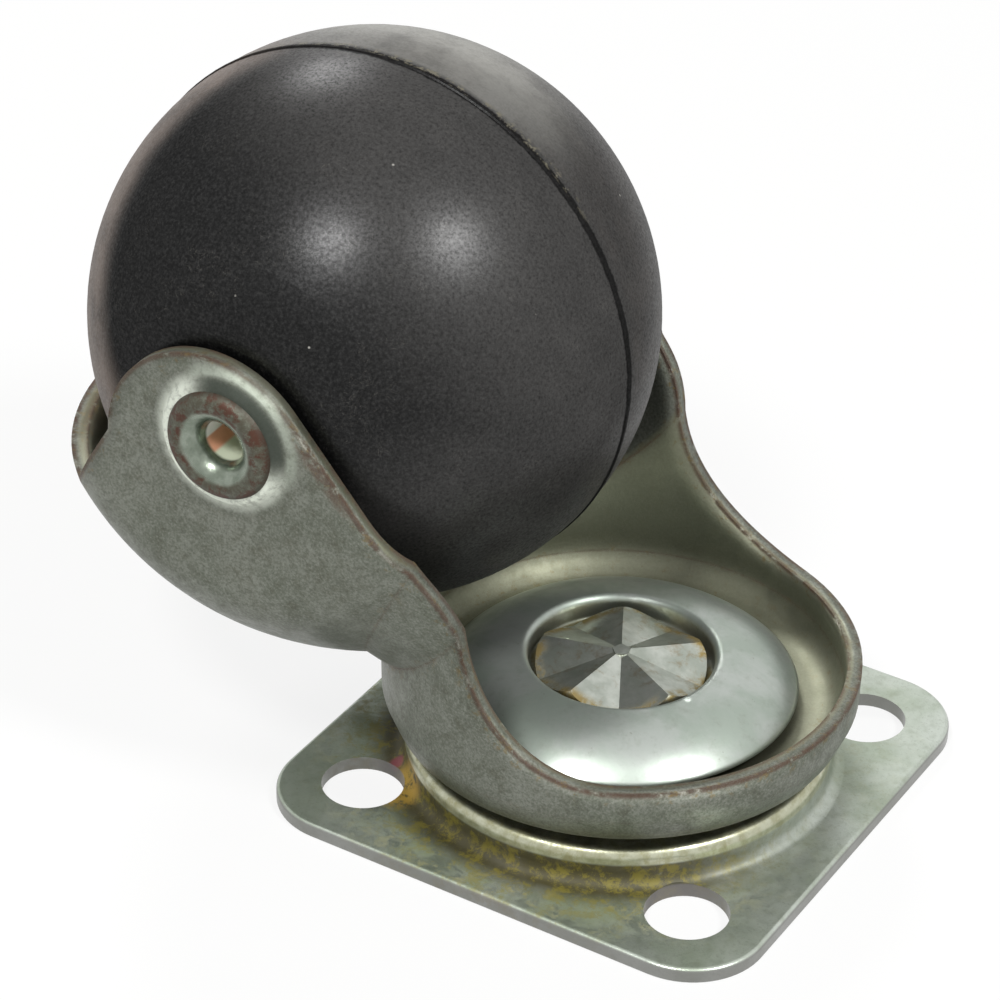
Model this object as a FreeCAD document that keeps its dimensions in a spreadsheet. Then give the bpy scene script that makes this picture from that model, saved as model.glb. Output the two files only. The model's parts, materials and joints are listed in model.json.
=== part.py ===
import FreeCAD, Part
import math
import os
import Sketcher

# Ball castor, shown standing on its mounting plate with the ball uppermost.
# The origin is on the swivel axis at the mounting face. +Z is up, away from that face.
# The fork points its ball towards -X and carries the axle along Y.
SIZES = {
    # rolling ball, its bush and the hollow axle rivet
    "ball_diameter": 50,
    "ball_flat_radius": 10.9,
    "flat_blend_radius": 12,
    "ball_trail": 25.3,
    "axle_height": 39.2,
    "flash_height": 0.12,
    "flash_width": 0.5,
    "bush_radius": 5.2,
    "bush_stand_out": 0.3,
    "axle_radius": 3.2,
    "axle_bore_radius": 1.9,
    "flange_radius": 5,
    "flange_thickness": 0.8,
    "flange_lip_radius": 3.9,
    # pressed fork
    "sheet_thickness": 1.3,
    "ear_clearance": 0.6,
    "bowl_clearance": 3.2,
    "ear_blend_radius": 8,
    "ear_radius": 10.1,
    "ear_drop": 2.5,
    "ear_setback": 1.5,
    "heel_angle": 31,
    "heel_fillet_radius": 3,
    "web_rim_height": 27.1,
    "arm_slope_angle": 49.5,
    "shoulder_radius": 12,
    "neck_reach": 20.3,
    "rim_sweep_radius": 14,
    "front_rim_height": 12.5,
    "emboss_base_radius": 6.1,
    "emboss_top_radius": 5.4,
    "emboss_height": 0.75,
    "cup_floor_height": 6.5,
    "cup_foot_radius": 20,
    "cup_rim_radius": 21.2,
    "cup_taper_height": 3,
    "cup_draft": 0.4,
    "cup_bend_radius": 1.5,
    "saddle_reach": 11,
    "saddle_drop": 8,
    "saddle_radius": 22.8,
    "swivel_rest_angle": 2.5,
    # swivel bearing
    "lower_ball_diameter": 4,
    "lower_race_radius": 14,
    "lower_race_depth": 0.5,
    "lower_ball_count": 18,
    "upper_ball_diameter": 3.175,
    "upper_race_depth": 0.3,
    "upper_ball_count": 19,
    "race_clearance": 0.05,
    "swivel_clearance": 0.2,
    "running_clearance": 0.05,
    "cap_dome_radius": 10.6,
    "cap_thickness": 1,
    "cap_lift": 1.35,
    "cap_wall_clearance": 0.4,
    "cap_sink_radius": 8.3,
    "cap_sink_depth": 2.1,
    # king rivet with its star-staked head
    "shank_radius": 4,
    "rivet_head_radius": 7.6,
    "rivet_head_height": 1.7,
    "rivet_head_crown": 0.5,
    "rivet_foot_radius": 7.5,
    "rivet_foot_height": 1.8,
    "star_arms": 5,
    "star_angle": 10.7,
    "star_groove_depth": 2.2,
    "star_groove_width": 20.5,
    "star_eye_radius": 0.7,
    # mounting plate
    "plate_side": 48,
    "plate_thickness": 1.3,
    "plate_corner_radius": 7,
    "plate_edge_radius": 0.4,
    "fixing_hole_diameter": 7.4,
    "fixing_hole_pitch": 33,
    "boss_radius": 19.2,
    "boss_height": 4.8,
    "boss_edge_radius": 0.9,
    "boss_foot_radius": 1.2,
}

doc = FreeCAD.newDocument("ball_castor")
sheet = doc.addObject("Spreadsheet::Sheet", "Size")
for row, (alias, amount) in enumerate(SIZES.items(), start=1):
    sheet.set(f"A{row}", alias)
    sheet.set(f"B{row}", str(amount))
    sheet.setAlias(f"B{row}", alias)
doc.recompute()

# Sizes that several pieces share, each worked out from the sheet.
BALL_RADIUS = "(Size.ball_diameter / 2)"
FLAT_HALF_WIDTH = f"sqrt({BALL_RADIUS}^2 - Size.ball_flat_radius^2)"
EAR_INSIDE = f"({FLAT_HALF_WIDTH} + Size.ear_clearance)"
EAR_OUTSIDE = f"({EAR_INSIDE} + Size.sheet_thickness)"
EMBOSS_FACE = f"({EAR_OUTSIDE} + Size.emboss_height)"
BOWL_INSIDE = f"({BALL_RADIUS} + Size.bowl_clearance)"
BOWL_OUTSIDE = f"({BOWL_INSIDE} + Size.sheet_thickness)"
AXLE_HOLE_RADIUS = "(Size.axle_radius + Size.running_clearance)"
FLOOR_TOP = "(Size.cup_floor_height + Size.sheet_thickness)"
CUP_TOP = "(Size.axle_height - Size.ear_blend_radius)"
LOWER_BALL_RADIUS = "(Size.lower_ball_diameter / 2)"
LOWER_BALL_HEIGHT = (
    f"(Size.cup_floor_height + Size.lower_race_depth - Size.race_clearance - {LOWER_BALL_RADIUS})"
)
UPPER_BALL_RADIUS = "(Size.upper_ball_diameter / 2)"
UPPER_BALL_HEIGHT = f"({FLOOR_TOP} - Size.upper_race_depth + {UPPER_BALL_RADIUS})"
SINK_OUTSIDE = "(Size.cap_sink_radius + Size.cap_thickness)"
UPPER_RACE_RADIUS = f"({SINK_OUTSIDE} + Size.cap_wall_clearance + {UPPER_BALL_RADIUS})"
DOME_INSIDE = "(Size.cap_dome_radius - Size.cap_thickness)"
DOME_TO_BALL = f"({DOME_INSIDE} - {UPPER_BALL_RADIUS} - Size.race_clearance)"
DOME_CENTRE = (
    f"({UPPER_BALL_HEIGHT} - sqrt({DOME_TO_BALL}^2 - ({UPPER_RACE_RADIUS} - Size.cap_sink_radius)^2))"
)
CAP_CREST = f"({DOME_CENTRE} + Size.cap_dome_radius)"
SINK_FLOOR = f"({CAP_CREST} - Size.cap_sink_depth)"
BOSS_CEILING = "(Size.boss_height - Size.plate_thickness)"


def number(expression):
    """Present value of an expression in the sheet's sizes."""
    return float(sheet.evalExpression(expression))


def new_body(name):
    body = doc.addObject("PartDesign::Body", name)
    body.Label = name
    return body


def new_sketch(body, role, name, at_axle=False):
    """Sketch on one of the body's own planes, or moved along to the middle of the axle."""
    sketch = body.newObject("Sketcher::SketchObject", name)
    plane = next(plane for plane in body.Origin.OriginFeatures if plane.Role == role)
    sketch.AttachmentSupport = (plane, [""])
    sketch.MapMode = "FlatFace"
    if at_axle:
        sketch.setExpression("AttachmentOffset.Base.x", "-Size.ball_trail")
        sketch.setExpression("AttachmentOffset.Base.z", "Size.axle_height")
    return sketch


def measure(sketch, kind, *where, size):
    """Dimension bound to an expression, with angles in degrees."""
    amount = math.radians(number(size)) if kind == "Angle" else number(size)
    index = sketch.addConstraint(Sketcher.Constraint(kind, *where, amount))
    sketch.setExpression(f"Constraints[{index}]", size)


def tie(sketch, kind, *where):
    sketch.addConstraint(Sketcher.Constraint(kind, *where))


def pin(sketch, element, point, across, up):
    """Fixes a point at two expressions, measured from the sketch's origin."""
    for kind, axis, size in (("DistanceX", -2, across), ("DistanceY", -1, up)):
        if size == "0":
            tie(sketch, "PointOnObject", element, point, axis)
        else:
            measure(sketch, kind, -1, 1, element, point, size=size)


def arc_between(start, finish, radius, turn):
    """Short arc from start to finish, turning left (1) or right (-1)."""
    half = (finish - start) * 0.5
    inwards = FreeCAD.Vector(-half.y, half.x, 0).normalize() * turn
    centre = start + half + inwards * math.sqrt(max(radius**2 - half.Length**2, 0))
    first, last = (start, finish) if turn > 0 else (finish, start)
    circle = Part.Circle(centre, FreeCAD.Vector(0, 0, 1), radius)
    angles = [math.atan2(end.y - centre.y, end.x - centre.x) for end in (first, last)]
    return Part.ArcOfCircle(circle, *angles)


def outline(sketch, corners, arcs=()):
    """Closed outline through corners given as pairs of expressions.

    Each arc is the number of a side, its radius and its turn: 1 to the left, -1 to the right.
    """
    rounds = {side: (radius, turn) for side, radius, turn in arcs}
    places = [FreeCAD.Vector(number(across), number(up), 0) for across, up in corners]
    sides = []
    for side, start in enumerate(places):
        finish = places[(side + 1) % len(places)]
        if side in rounds:
            radius, turn = rounds[side]
            element = sketch.addGeometry(arc_between(start, finish, number(radius), turn))
            sides.append((element, 1, 2) if turn > 0 else (element, 2, 1))
            measure(sketch, "Radius", element, size=radius)
        else:
            element = sketch.addGeometry(Part.LineSegment(start, finish))
            sides.append((element, 1, 2))
    for side, (element, first, last) in enumerate(sides):
        following = sides[(side + 1) % len(sides)]
        tie(sketch, "Coincident", element, last, following[0], following[1])
        pin(sketch, element, first, *corners[side])


def ring_section(sketch, across, up, radius):
    """Full circle, the section of a ball track."""
    centre = FreeCAD.Vector(number(across), number(up), 0)
    element = sketch.addGeometry(Part.Circle(centre, FreeCAD.Vector(0, 0, 1), number(radius)))
    measure(sketch, "Radius", element, size=radius)
    pin(sketch, element, 3, across, up)


def turned(body, kind, sketch, name):
    """Revolution or Groove once round the sketch's upright axis."""
    feature = body.newObject(f"PartDesign::{kind}", name)
    feature.Profile = sketch
    feature.ReferenceAxis = (sketch, ["V_Axis"])
    feature.Angle = 360
    doc.recompute()
    return feature


def cut_through(body, sketch, name, length):
    """Pocket to both sides of the sketch, which has to take something away."""
    doc.recompute()
    before = body.Tip.Shape.Volume
    pocket = body.newObject("PartDesign::Pocket", name)
    pocket.Profile = sketch
    pocket.SideType = "Symmetric"
    pocket.setExpression("Length", length)
    doc.recompute()
    if pocket.Shape.Volume > before - 1:
        raise ValueError(f"{name} cuts nothing")
    return pocket


def rounded(body, name, radius, wanted):
    """Fillet on every edge of the body so far that is wanted."""
    doc.recompute()
    base = body.Tip
    edges = []
    for index, edge in enumerate(base.Shape.Edges, start=1):
        if not edge.Degenerated and wanted(edge):
            edges.append(f"Edge{index}")
    fillet = body.newObject("PartDesign::Fillet", name)
    fillet.Base = (base, edges)
    fillet.setExpression("Radius", radius)
    doc.recompute()


def hoop(radius, height):
    """Test for a level circular edge of a given radius and height."""

    def wanted(edge):
        curve = edge.Curve
        return (
            isinstance(curve, Part.Circle)
            and abs(curve.Radius - number(radius)) < 0.001
            and abs(curve.Center.z - number(height)) < 0.001
            and abs(curve.Axis.z) > 0.999
        )

    return wanted


def swung(body, angle="Size.swivel_rest_angle"):
    """Turns a body about the swivel axis, by default to the fork's rest angle."""
    body.Placement = FreeCAD.Placement(FreeCAD.Vector(), FreeCAD.Rotation(FreeCAD.Vector(0, 0, 1), 1))
    body.setExpression("Placement.Rotation.Angle", angle)
    return body


def make_top_plate():
    body = new_body("top_plate")
    half = "Size.plate_side / 2"
    sketch = new_sketch(body, "XY_Plane", "plate_outline")
    outline(sketch, [(half, half), (f"-{half}", half), (f"-{half}", f"-{half}"), (half, f"-{half}")])
    pad = body.newObject("PartDesign::Pad", "plate_blank")
    pad.Profile = sketch
    pad.setExpression("Length", "Size.plate_thickness")
    rounded(body, "plate_corners", "Size.plate_corner_radius", is_upright)
    rounded(
        body,
        "plate_edge",
        "Size.plate_edge_radius",
        lambda edge: abs(edge.CenterOfMass.z - number("Size.plate_thickness")) < 0.001,
    )

    sketch = new_sketch(body, "XZ_Plane", "boss_section")
    boss = [
        ("0", "Size.plate_thickness / 2"),
        ("Size.boss_radius", "Size.plate_thickness / 2"),
        ("Size.boss_radius", "Size.boss_height"),
        ("0", "Size.boss_height"),
    ]
    outline(sketch, boss)
    turned(body, "Revolution", sketch, "boss")
    rounded(body, "boss_edge", "Size.boss_edge_radius", hoop("Size.boss_radius", "Size.boss_height"))
    rounded(body, "boss_foot", "Size.boss_foot_radius", hoop("Size.boss_radius", "Size.plate_thickness"))

    sketch = new_sketch(body, "XZ_Plane", "hollow_section")
    hollow_radius = "Size.boss_radius - Size.plate_thickness"
    hollow = [
        ("0", "-Size.plate_thickness"),
        (hollow_radius, "-Size.plate_thickness"),
        (hollow_radius, BOSS_CEILING),
        ("0", BOSS_CEILING),
    ]
    outline(sketch, hollow)
    turned(body, "Groove", sketch, "hollow")

    # the track is pressed down into the boss, so its back stands out in the hollow
    track_radius = f"({LOWER_BALL_RADIUS} + Size.race_clearance)"
    back_radius = f"({track_radius} + Size.plate_thickness)"
    back_half_width = f"sqrt({back_radius}^2 - ({LOWER_BALL_HEIGHT} - {BOSS_CEILING})^2)"
    sketch = new_sketch(body, "XZ_Plane", "track_back_section")
    back = [
        (f"Size.lower_race_radius - {back_half_width}", BOSS_CEILING),
        (f"Size.lower_race_radius + {back_half_width}", BOSS_CEILING),
    ]
    outline(sketch, back, [(1, back_radius, -1)])
    turned(body, "Revolution", sketch, "track_back")
    sketch = new_sketch(body, "XZ_Plane", "track_section")
    ring_section(sketch, "Size.lower_race_radius", f"{LOWER_BALL_HEIGHT} + Size.race_clearance", track_radius)
    turned(body, "Groove", sketch, "track")

    sketch = new_sketch(body, "XY_Plane", "hole_centres")
    reach = "Size.fixing_hole_pitch / 2"
    for across in (reach, f"-{reach}"):
        for up in (reach, f"-{reach}"):
            ring_section(sketch, across, up, "Size.fixing_hole_diameter / 2")
    ring_section(sketch, "0", "0", "Size.shank_radius")
    cut_through(body, sketch, "holes", "4 * Size.boss_height")
    return body


def is_upright(edge):
    return isinstance(edge.Curve, Part.Line) and abs(edge.Curve.Direction.z) > 0.999


def make_king_rivet():
    body = new_body("king_rivet")
    foot = f"{BOSS_CEILING} - Size.rivet_foot_height"
    head_edge = f"({SINK_FLOOR} + Size.rivet_head_height)"
    head_top = f"({head_edge} + Size.rivet_head_crown)"
    crown_radius = (
        "(Size.rivet_head_radius^2 + Size.rivet_head_crown^2) / (2 * Size.rivet_head_crown)"
    )
    sketch = new_sketch(body, "XZ_Plane", "rivet_section")
    section = [
        ("0", foot),
        ("Size.rivet_foot_radius", foot),
        ("Size.rivet_foot_radius", BOSS_CEILING),
        ("Size.shank_radius", BOSS_CEILING),
        ("Size.shank_radius", SINK_FLOOR),
        ("Size.rivet_head_radius", SINK_FLOOR),
        ("Size.rivet_head_radius", head_edge),
        ("0", head_top),
    ]
    outline(sketch, section, [(6, crown_radius, 1)])
    turned(body, "Revolution", sketch, "rivet_blank")
    rounded(body, "head_edge", "Size.rivet_head_height / 3", hoop("Size.rivet_head_radius", head_edge))

    # one V groove of the star, small at the eye and full at the edge of the head
    near = new_sketch(body, "YZ_Plane", "star_groove_eye")
    far = new_sketch(body, "YZ_Plane", "star_groove_end")
    near.setExpression("AttachmentOffset.Base.z", "Size.star_eye_radius")
    far.setExpression("AttachmentOffset.Base.z", "Size.rivet_head_radius + Size.rivet_head_crown")
    eye_share = "Size.star_eye_radius / Size.rivet_head_radius"
    for sketch, share in ((near, eye_share), (far, "1")):
        half_width = f"Size.star_groove_width / 2 * {share}"
        brim = f"{head_top} + Size.rivet_head_crown * {share}"
        bed = f"{head_top} - Size.star_groove_depth * {share}"
        outline(sketch, [(f"-{half_width}", brim), ("0", bed), (half_width, brim)])
    groove = body.newObject("PartDesign::SubtractiveLoft", "star_groove")
    groove.Profile = near
    groove.Sections = [far]
    groove.Ruled = True
    star = body.newObject("PartDesign::PolarPattern", "star")
    star.Originals = [groove]
    star.Axis = (body.Origin.OriginFeatures[2], [""])
    star.setExpression("Occurrences", "Size.star_arms")
    body.Tip = star
    return swung(body, "Size.star_angle")


def make_race_cap():
    """Sunk disc fast on the rivet, its dome struck from over the lip of the sink to clear the balls."""
    body = new_body("race_cap")
    edge = f"({FLOOR_TOP} + Size.cap_lift)"
    sink_back = f"({SINK_FLOOR} - Size.cap_thickness)"
    dome_foot = f"({DOME_CENTRE} + sqrt({DOME_INSIDE}^2 - Size.cap_thickness^2))"

    def reach(radius):
        """How far out an arc about the dome's centre comes down to the edge."""
        return f"Size.cap_sink_radius + sqrt({radius}^2 - ({edge} - {DOME_CENTRE})^2)"

    sketch = new_sketch(body, "XZ_Plane", "cap_section")
    section = [
        ("Size.shank_radius", sink_back),
        (SINK_OUTSIDE, sink_back),
        (SINK_OUTSIDE, dome_foot),
        (reach(DOME_INSIDE), edge),
        (reach("Size.cap_dome_radius"), edge),
        ("Size.cap_sink_radius", CAP_CREST),
        ("Size.cap_sink_radius", SINK_FLOOR),
        ("Size.shank_radius", SINK_FLOOR),
    ]
    outline(sketch, section, [(2, DOME_INSIDE, -1), (4, "Size.cap_dome_radius", 1)])
    turned(body, "Revolution", sketch, "cap_blank")
    rounded(body, "sink_lip", "Size.cap_thickness * 0.6", hoop("Size.cap_sink_radius", CAP_CREST))
    return body


def make_race_balls(name, race_radius, height, ball_radius, count):
    body = new_body(name)
    body.AllowCompound = True
    sketch = new_sketch(body, "XZ_Plane", f"{name}_section")
    sketch.setExpression("AttachmentOffset.Base.x", race_radius)
    corners = [("0", f"{height} - {ball_radius}"), ("0", f"{height} + {ball_radius}")]
    half_circle(sketch, height, ball_radius, corners)
    ball = turned(body, "Revolution", sketch, f"{name}_first")
    row = body.newObject("PartDesign::PolarPattern", f"{name}_row")
    row.Originals = [ball]
    row.Axis = (body.Origin.OriginFeatures[2], [""])
    row.setExpression("Occurrences", count)
    body.Tip = row
    return body


def half_circle(sketch, height, radius, ends):
    """Half disc on the sketch's upright axis."""
    centre = FreeCAD.Vector(0, number(height), 0)
    circle = Part.Circle(centre, FreeCAD.Vector(0, 0, 1), number(radius))
    bulge = sketch.addGeometry(Part.ArcOfCircle(circle, -math.pi / 2, math.pi / 2))
    low, top = (FreeCAD.Vector(0, number(up), 0) for across, up in ends)
    diameter = sketch.addGeometry(Part.LineSegment(top, low))
    tie(sketch, "Coincident", bulge, 2, diameter, 1)
    tie(sketch, "Coincident", diameter, 2, bulge, 1)
    measure(sketch, "Radius", bulge, size=radius)
    pin(sketch, bulge, 3, "0", height)
    tie(sketch, "PointOnObject", bulge, 1, -2)
    tie(sketch, "PointOnObject", bulge, 2, -2)


def drum(sketch, radius, half_width, blend):
    """Half section of a ball with two flats, on the axle, each flat blended into the round."""
    reach = f"sqrt(({radius} - {blend})^2 - ({half_width} - {blend})^2)"
    share = f"({radius} / ({radius} - {blend}))"
    wide = f"{reach} * {share}"
    high = f"({half_width} - {blend}) * {share}"
    corners = [
        ("0", f"-{half_width}"),
        (reach, f"-{half_width}"),
        (wide, f"-{high}"),
        (wide, high),
        (reach, half_width),
        ("0", half_width),
    ]
    outline(sketch, corners, [(1, blend, 1), (2, radius, 1), (3, blend, 1)])


def cup_section(sketch, wall, floor, bend):
    """Half section of the cup, drawn in by the wall and closed below by the floor."""
    foot = f"(Size.cup_foot_radius - {wall})"
    rim = f"(Size.cup_rim_radius - {wall})"
    taper_top = "(Size.cup_floor_height + Size.cup_taper_height)"
    lean = f"atan(({rim} - {foot}) / ({taper_top} - {floor}))"
    reach = f"({bend} * tan((90 deg - {lean}) / 2))"
    corners = [
        ("0", floor),
        (f"{foot} - {reach}", floor),
        (f"{foot} + {reach} * sin({lean})", f"{floor} + {reach} * cos({lean})"),
        (rim, taper_top),
        (f"{rim} + Size.cup_draft", CUP_TOP),
        ("0", CUP_TOP),
    ]
    outline(sketch, corners, [(1, bend, 1)])


def saddle(body, kind, name, radius):
    """Ball that carries the sheet over from the bowl to the cup."""
    sketch = new_sketch(body, "XZ_Plane", f"{name}_section")
    sketch.setExpression("AttachmentOffset.Base.x", "-Size.saddle_reach")
    height = "(Size.axle_height - Size.saddle_drop)"
    half_circle(sketch, height, radius, [("0", f"{height} - {radius}"), ("0", f"{height} + {radius}")])
    turned(body, kind, sketch, name)


def rim_cut(sketch):
    """Everything in front of and above the fork's cut rim, seen from the side.

    From the back: the level web rim, the heel, the round ear, the sloping arm, its shoulder, the
    sweep down to the cup and the level front rim, closed by a frame that clears the blank.
    """
    ear = FreeCAD.Vector(
        number("-Size.ball_trail - Size.ear_setback"), number("Size.axle_height - Size.ear_drop"), 0
    )
    ear_radius = number("Size.ear_radius")
    shoulder_radius = number("Size.shoulder_radius")
    sweep_radius = number("Size.rim_sweep_radius")
    heel_angle = math.radians(number("Size.heel_angle"))
    slope = math.radians(number("Size.arm_slope_angle"))
    web_height = number("Size.web_rim_height")
    front_height = number("Size.front_rim_height")
    back = "-Size.ball_trail - 2 * Size.ear_radius - " + BOWL_OUTSIDE
    front = "Size.cup_rim_radius + Size.ear_radius"
    top = f"Size.axle_height + {BOWL_OUTSIDE} + Size.ear_radius"

    heel_top = ear - FreeCAD.Vector(ear_radius, 0, 0)
    up_heel = FreeCAD.Vector(math.sin(heel_angle), math.cos(heel_angle), 0)
    heel_foot = heel_top - up_heel * ((heel_top.y - web_height) / up_heel.y)
    fillet_reach = number("Size.heel_fillet_radius") * math.tan((math.pi / 2 - heel_angle) / 2)
    web_end = heel_foot - FreeCAD.Vector(fillet_reach, 0, 0)
    heel_start = heel_foot + up_heel * fillet_reach

    down_arm = FreeCAD.Vector(math.cos(slope), -math.sin(slope), 0)
    out_arm = FreeCAD.Vector(math.sin(slope), math.cos(slope), 0)
    arm_top = ear + out_arm * ear_radius
    sweep_across = "-Size.ball_trail + Size.neck_reach + Size.rim_sweep_radius"
    sweep = FreeCAD.Vector(number(sweep_across), front_height + sweep_radius, 0)
    offset = arm_top - out_arm * shoulder_radius - sweep
    along = offset.dot(down_arm)
    span = sweep_radius + shoulder_radius
    run = -along - math.sqrt(along**2 - offset.dot(offset) + span**2)
    arm_foot = arm_top + down_arm * run
    shoulder = arm_foot - out_arm * shoulder_radius
    neck = shoulder + (sweep - shoulder) * (shoulder_radius / span)
    rim_start = FreeCAD.Vector(sweep.x, front_height, 0)

    corners = [
        FreeCAD.Vector(number(back), web_height, 0),
        web_end,
        heel_start,
        heel_top,
        arm_top,
        arm_foot,
        neck,
        rim_start,
        FreeCAD.Vector(number(front), front_height, 0),
        FreeCAD.Vector(number(front), number(top), 0),
        FreeCAD.Vector(number(back), number(top), 0),
    ]
    arcs = {
        1: ("Size.heel_fillet_radius", 1),
        3: ("Size.ear_radius", -1),
        5: ("Size.shoulder_radius", -1),
        6: ("Size.rim_sweep_radius", 1),
    }
    sides = []
    for side, start in enumerate(corners):
        finish = corners[(side + 1) % len(corners)]
        if side in arcs:
            radius, turn = arcs[side]
            element = sketch.addGeometry(arc_between(start, finish, number(radius), turn))
            sides.append((element, 1, 2) if turn > 0 else (element, 2, 1))
        else:
            element = sketch.addGeometry(Part.LineSegment(start, finish))
            sides.append((element, 1, 2))
    smooth = (0, 1, 3, 4, 5, 6)
    for side, (element, first, last) in enumerate(sides):
        following = sides[(side + 1) % len(sides)]
        kind = "Tangent" if side in smooth else "Coincident"
        tie(sketch, kind, element, last, following[0], following[1])
    for side in (0, 7, 9):
        tie(sketch, "Horizontal", sides[side][0])
    for side in (8, 10):
        tie(sketch, "Vertical", sides[side][0])
    for side, (radius, turn) in arcs.items():
        measure(sketch, "Radius", sides[side][0], size=radius)
    web, heel, ear_arc, arm, sweep_arc, rim = (sides[side][0] for side in (0, 2, 3, 4, 6, 7))
    pin(sketch, web, 1, back, "Size.web_rim_height")
    pin(sketch, rim, 2, front, "Size.front_rim_height")
    measure(sketch, "DistanceY", -1, 1, sides[8][0], 2, size=top)
    pin(sketch, ear_arc, 3, "-Size.ball_trail - Size.ear_setback", "Size.axle_height - Size.ear_drop")
    tie(sketch, "Horizontal", heel, 2, ear_arc, 3)
    measure(sketch, "Angle", heel, size="90 - Size.heel_angle")
    measure(sketch, "Angle", arm, size="-Size.arm_slope_angle")
    measure(sketch, "DistanceX", -1, 1, sweep_arc, 3, size=sweep_across)


def make_fork():
    body = new_body("fork")
    sketch = new_sketch(body, "XY_Plane", "bowl_outside", at_axle=True)
    drum(sketch, BOWL_OUTSIDE, EAR_OUTSIDE, "Size.ear_blend_radius")
    turned(body, "Revolution", sketch, "bowl")
    sketch = new_sketch(body, "XZ_Plane", "cup_outside")
    cup_section(sketch, "0", "Size.cup_floor_height", "Size.cup_bend_radius")
    turned(body, "Revolution", sketch, "cup")
    saddle(body, "Revolution", "saddle", "Size.saddle_radius")
    sketch = new_sketch(body, "XZ_Plane", "rim_outline")
    rim_cut(sketch)
    cut_through(body, sketch, "rim", f"4 * {EAR_OUTSIDE}")

    sketch = new_sketch(body, "XY_Plane", "bowl_inside", at_axle=True)
    drum(sketch, BOWL_INSIDE, EAR_INSIDE, "(Size.ear_blend_radius - Size.sheet_thickness)")
    turned(body, "Groove", sketch, "bowl_space")
    sketch = new_sketch(body, "XZ_Plane", "cup_inside")
    cup_section(
        sketch, "Size.sheet_thickness", FLOOR_TOP, "(Size.cup_bend_radius - Size.sheet_thickness / 2)"
    )
    turned(body, "Groove", sketch, "cup_space")
    saddle(body, "Groove", "saddle_space", "(Size.saddle_radius - Size.sheet_thickness)")

    # the raised rings round the axle holes are pressed out of the ears
    sketch = new_sketch(body, "XY_Plane", "ring_outside", at_axle=True)
    ring_press(sketch, "Size.emboss_base_radius", "Size.emboss_top_radius", EAR_OUTSIDE, "0.5")
    turned(body, "Revolution", sketch, "ring_pads")
    sketch = new_sketch(body, "XY_Plane", "ring_inside", at_axle=True)
    inner_base = "(2 * Size.emboss_top_radius - Size.emboss_base_radius)"
    ring_press(sketch, "Size.emboss_top_radius", inner_base, EAR_INSIDE, "0.5")
    turned(body, "Groove", sketch, "ring_backs")
    sketch = new_sketch(body, "XZ_Plane", "axle_hole_outline")
    ring_section(sketch, "-Size.ball_trail", "Size.axle_height", AXLE_HOLE_RADIUS)
    cut_through(body, sketch, "axle_holes", f"4 * {EAR_OUTSIDE}")

    sketch = new_sketch(body, "XY_Plane", "king_hole_outline")
    ring_section(sketch, "0", "0", "Size.shank_radius + Size.swivel_clearance")
    cut_through(body, sketch, "king_hole", f"4 * {FLOOR_TOP}")
    sketch = new_sketch(body, "XZ_Plane", "lower_track_section")
    ring_section(
        sketch, "Size.lower_race_radius", LOWER_BALL_HEIGHT, f"{LOWER_BALL_RADIUS} + Size.race_clearance"
    )
    turned(body, "Groove", sketch, "lower_track")
    sketch = new_sketch(body, "XZ_Plane", "upper_track_section")
    ring_section(
        sketch,
        UPPER_RACE_RADIUS,
        f"{UPPER_BALL_HEIGHT} + Size.race_clearance",
        f"{UPPER_BALL_RADIUS} + Size.race_clearance",
    )
    turned(body, "Groove", sketch, "upper_track")
    return swung(body)


def ring_press(sketch, base_radius, top_radius, face, depth_share):
    """Two flat-topped cones that stand out from a face on either side of the ball."""
    sunk = f"{face} - Size.sheet_thickness * {depth_share}"
    raised = f"{face} + Size.emboss_height"
    for side in ("", "-"):
        corners = [
            ("0", f"{side}({sunk})"),
            (base_radius, f"{side}({sunk})"),
            (base_radius, f"{side}({face})"),
            (top_radius, f"{side}({raised})"),
            ("0", f"{side}({raised})"),
        ]
        outline(sketch, corners)


def make_axle_tube():
    body = new_body("axle_tube")
    crest = f"({EMBOSS_FACE} + Size.flange_thickness)"
    flare = "(Size.flange_lip_radius - Size.axle_bore_radius)"
    over = "(Size.flange_radius - Size.flange_lip_radius)"
    roll = f"({over}^2 + Size.flange_thickness^2) / (2 * Size.flange_thickness)"
    throat = f"({crest} - {flare})"
    section = [
        ("Size.axle_radius", f"-{EMBOSS_FACE}"),
        ("Size.axle_radius", EMBOSS_FACE),
        ("Size.flange_radius", EMBOSS_FACE),
        ("Size.flange_lip_radius", crest),
        ("Size.axle_bore_radius", throat),
        ("Size.axle_bore_radius", f"-{throat}"),
        ("Size.flange_lip_radius", f"-{crest}"),
        ("Size.flange_radius", f"-{EMBOSS_FACE}"),
    ]
    sketch = new_sketch(body, "XY_Plane", "axle_section", at_axle=True)
    outline(sketch, section, [(2, roll, 1), (3, flare, 1), (5, flare, 1), (6, roll, 1)])
    turned(body, "Revolution", sketch, "axle_rivet")
    return swung(body)


def make_hub_bush():
    body = new_body("hub_bush")
    end = f"({FLAT_HALF_WIDTH} + Size.bush_stand_out)"
    section = [
        (AXLE_HOLE_RADIUS, f"-{end}"),
        ("Size.bush_radius", f"-{end}"),
        ("Size.bush_radius", end),
        (AXLE_HOLE_RADIUS, end),
    ]
    sketch = new_sketch(body, "XY_Plane", "bush_section", at_axle=True)
    outline(sketch, section)
    turned(body, "Revolution", sketch, "bush")
    return swung(body)


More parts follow.
